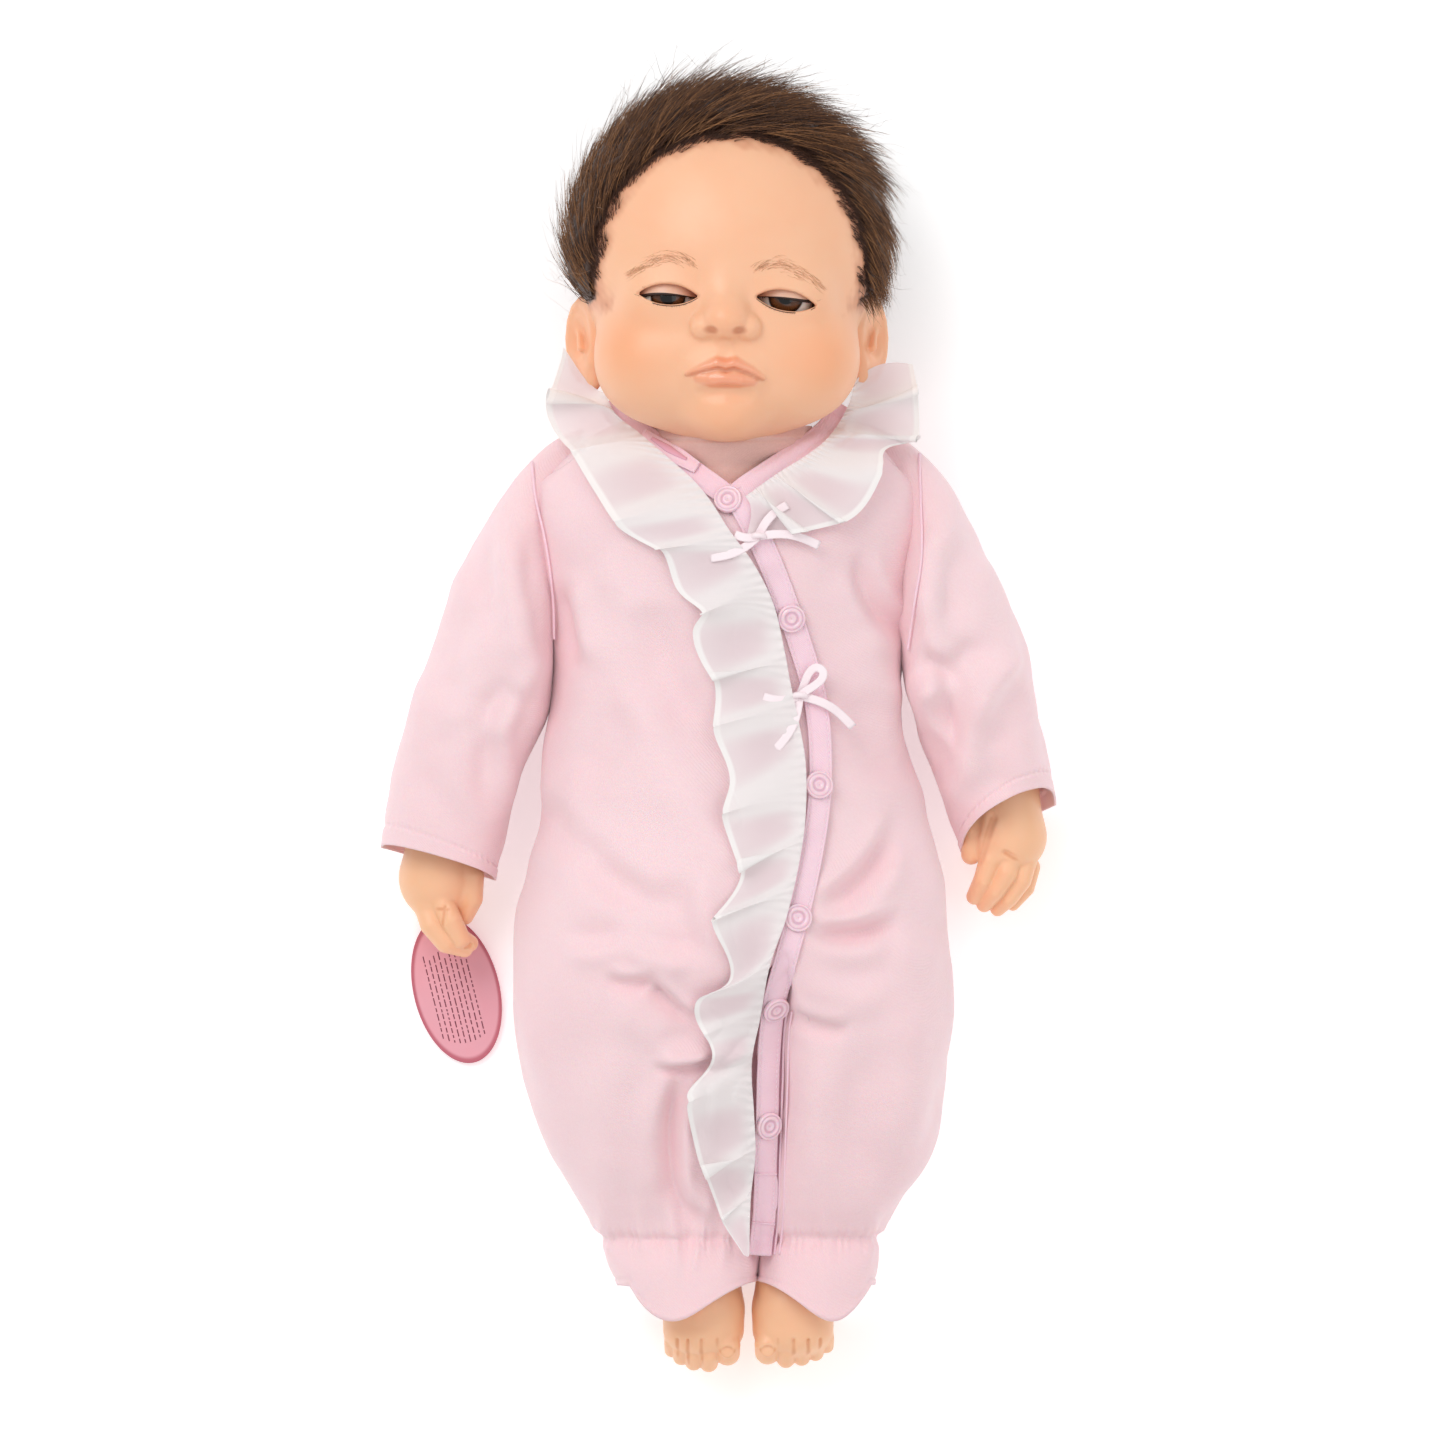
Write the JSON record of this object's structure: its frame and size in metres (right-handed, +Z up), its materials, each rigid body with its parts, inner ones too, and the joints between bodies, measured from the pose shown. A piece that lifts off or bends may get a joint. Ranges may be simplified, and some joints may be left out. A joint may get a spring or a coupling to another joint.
{
  "type": "interactive baby doll",
  "caption": "Soft-bodied talking and breathing baby doll with rooted hair, vinyl head, hands and feet, moving eyelids and a snap-front ruffled romper suit.",
  "frame": {"origin": "on the floor plane under the middle of the back, on the flat of the suit's back", "axes": "+Z up out of the chest and face, +Y towards the crown, +X to the doll's own left side"},
  "size_m": [0.2616, 0.501, 0.127],
  "materials": {
    "suit_fabric": "matte",
    "ruffle_fabric": "matte",
    "ribbon": "satin",
    "body_fabric": "matte",
    "stuffing": "matte",
    "closure_tape": "matte",
    "vinyl_skin": "satin",
    "rooted_hair": "satin",
    "eye_acrylic": "gloss",
    "lid_vinyl": "satin",
    "white_plastic": "satin",
    "grey_plastic": "matte",
    "black_plastic": "matte",
    "red_plastic": "satin",
    "snap_plastic": "gloss",
    "nylon_gear": "satin",
    "steel": "satin",
    "brass_gear": "satin",
    "board_green": "satin",
    "cell_label": "gloss",
    "tag_card": "gloss"
  },
  "bodies": {
    "torso": {"torso_stuffing": "stuffing", "body_cloth": "body_fabric", "neck_cloth": "body_fabric", "neck_cable_tie": "white_plastic", "shoulder_washers": "white_plastic", "hip_plate": "white_plastic", "bodice": "suit_fabric", "placket_upper": "suit_fabric", "snaps_upper": "snap_plastic", "ruffle_upper": "ruffle_fabric", "bow_upper": "ribbon", "bow_lower": "ribbon", "back_closure": "closure_tape", "front_housing": "white_plastic", "rear_housing": "grey_plastic", "housing_screws": "steel", "battery_door": "grey_plastic", "battery_cells": "cell_label", "battery_contacts": "steel", "circuit_board": "board_green", "speaker_frame": "grey_plastic", "speaker_cone": "black_plastic", "breath_motor": "steel"},
    "head": {"head_shell": "vinyl_skin", "hair_cap": "rooted_hair", "eyeballs": "eye_acrylic", "eye_carrier": "grey_plastic", "eye_motor": "steel"},
    "eyelid_set": {"eyelids": "lid_vinyl", "lid_bar": "nylon_gear"},
    "eye_pinion": {"eye_pinion": "nylon_gear"},
    "power_switch": {"power_switch": "black_plastic"},
    "touch_button": {"touch_button": "red_plastic"},
    "motor_pinion": {"motor_pinion": "brass_gear"},
    "lift_gear": {"lift_gear": "nylon_gear"},
    "breath_plate": {"breath_plate": "white_plastic"},
    "arm_right": {"sleeve_right": "suit_fabric", "upper_arm_right": "body_fabric", "hand_right": "vinyl_skin", "shoulder_post_right": "white_plastic", "arm_tie_right": "white_plastic"},
    "leg_right": {"trouser_leg_right": "suit_fabric", "thigh_right": "body_fabric", "foot_right": "vinyl_skin", "hip_post_right": "white_plastic", "leg_tie_right": "white_plastic", "placket_lower": "suit_fabric", "snaps_lower": "snap_plastic", "ruffle_lower": "ruffle_fabric"},
    "arm_left": {"sleeve_left": "suit_fabric", "upper_arm_left": "body_fabric", "hand_left": "vinyl_skin", "shoulder_post_left": "white_plastic", "arm_tie_left": "white_plastic"},
    "leg_left": {"trouser_leg_left": "suit_fabric", "thigh_left": "body_fabric", "foot_left": "vinyl_skin", "hip_post_left": "white_plastic", "leg_tie_left": "white_plastic"},
    "hang_tag": {"hang_tag": "tag_card"}
  },
  "joints": [
    {"name": "head_turn", "type": "hinge", "parent": "torso", "child": "head", "pos_m": [0, 0.099, 0.058], "axis": [0, 1, 0], "range_deg": [-45, 45]},
    {"name": "shoulder_right", "type": "hinge", "parent": "torso", "child": "arm_right", "pos_m": [-0.0685, 0.068, 0.046], "axis": [-1, 0, 0], "range_deg": [-10, 120]},
    {"name": "shoulder_left", "type": "hinge", "parent": "torso", "child": "arm_left", "pos_m": [0.0685, 0.068, 0.046], "axis": [-1, 0, 0], "range_deg": [-10, 120]},
    {"name": "hip_right", "type": "hinge", "parent": "torso", "child": "leg_right", "pos_m": [-0.002, -0.088, 0.044], "axis": [-1, 0, 0], "range_deg": [0, 90]},
    {"name": "hip_left", "type": "hinge", "parent": "torso", "child": "leg_left", "pos_m": [0.008, -0.088, 0.044], "axis": [-1, 0, 0], "range_deg": [0, 90]},
    {"name": "eyelid_close", "type": "hinge", "parent": "head", "child": "eyelid_set", "pos_m": [0, 0.1617, 0.0975], "axis": [1, 0, 0], "range_deg": [-12, 24]},
    {"name": "eye_pinion_turn", "type": "hinge", "parent": "head", "child": "eye_pinion", "pos_m": [0, 0.14968, 0.08548], "axis": [1, 0, 0], "range_deg": [-34.2, 17.1]},
    {"name": "breath_gear_turn", "type": "hinge", "parent": "torso", "child": "lift_gear", "pos_m": [0.008, 0.041, 0.044], "axis": [0, 1, 0], "range_deg": [-30, 0]},
    {"name": "motor_pinion_turn", "type": "hinge", "parent": "torso", "child": "motor_pinion", "pos_m": [-0.01516, 0.041, 0.052], "axis": [0, 1, 0], "range_deg": [-1, 80]},
    {"name": "breath_plate_lift", "type": "slide", "parent": "torso", "child": "breath_plate", "axis": [0, 0, 1], "range_m": [0, 0.004]},
    {"name": "power_switch_slide", "type": "slide", "parent": "torso", "child": "power_switch", "axis": [1, 0, 0], "range_m": [0, 0.0019]},
    {"name": "touch_button_press", "type": "slide", "parent": "torso", "child": "touch_button", "axis": [0, 0, -1], "range_m": [0, 0.0012], "stiffness_N_per_m": 400},
    {"name": "tag_swing", "type": "hinge", "parent": "arm_right", "child": "hang_tag", "pos_m": [-0.11, -0.084, 0.001], "axis": [0, 0, 1], "range_deg": [-15, 15]}
  ],
  "couplings": [
    {"joint": "eyelid_close", "follows": "eye_pinion_turn", "ratio": -0.7},
    {"joint": "motor_pinion_turn", "follows": "breath_gear_turn", "ratio": -2.5},
    {"joint": "breath_plate_lift", "follows": "breath_gear_turn", "m_per_rad": -0.007}
  ]
}
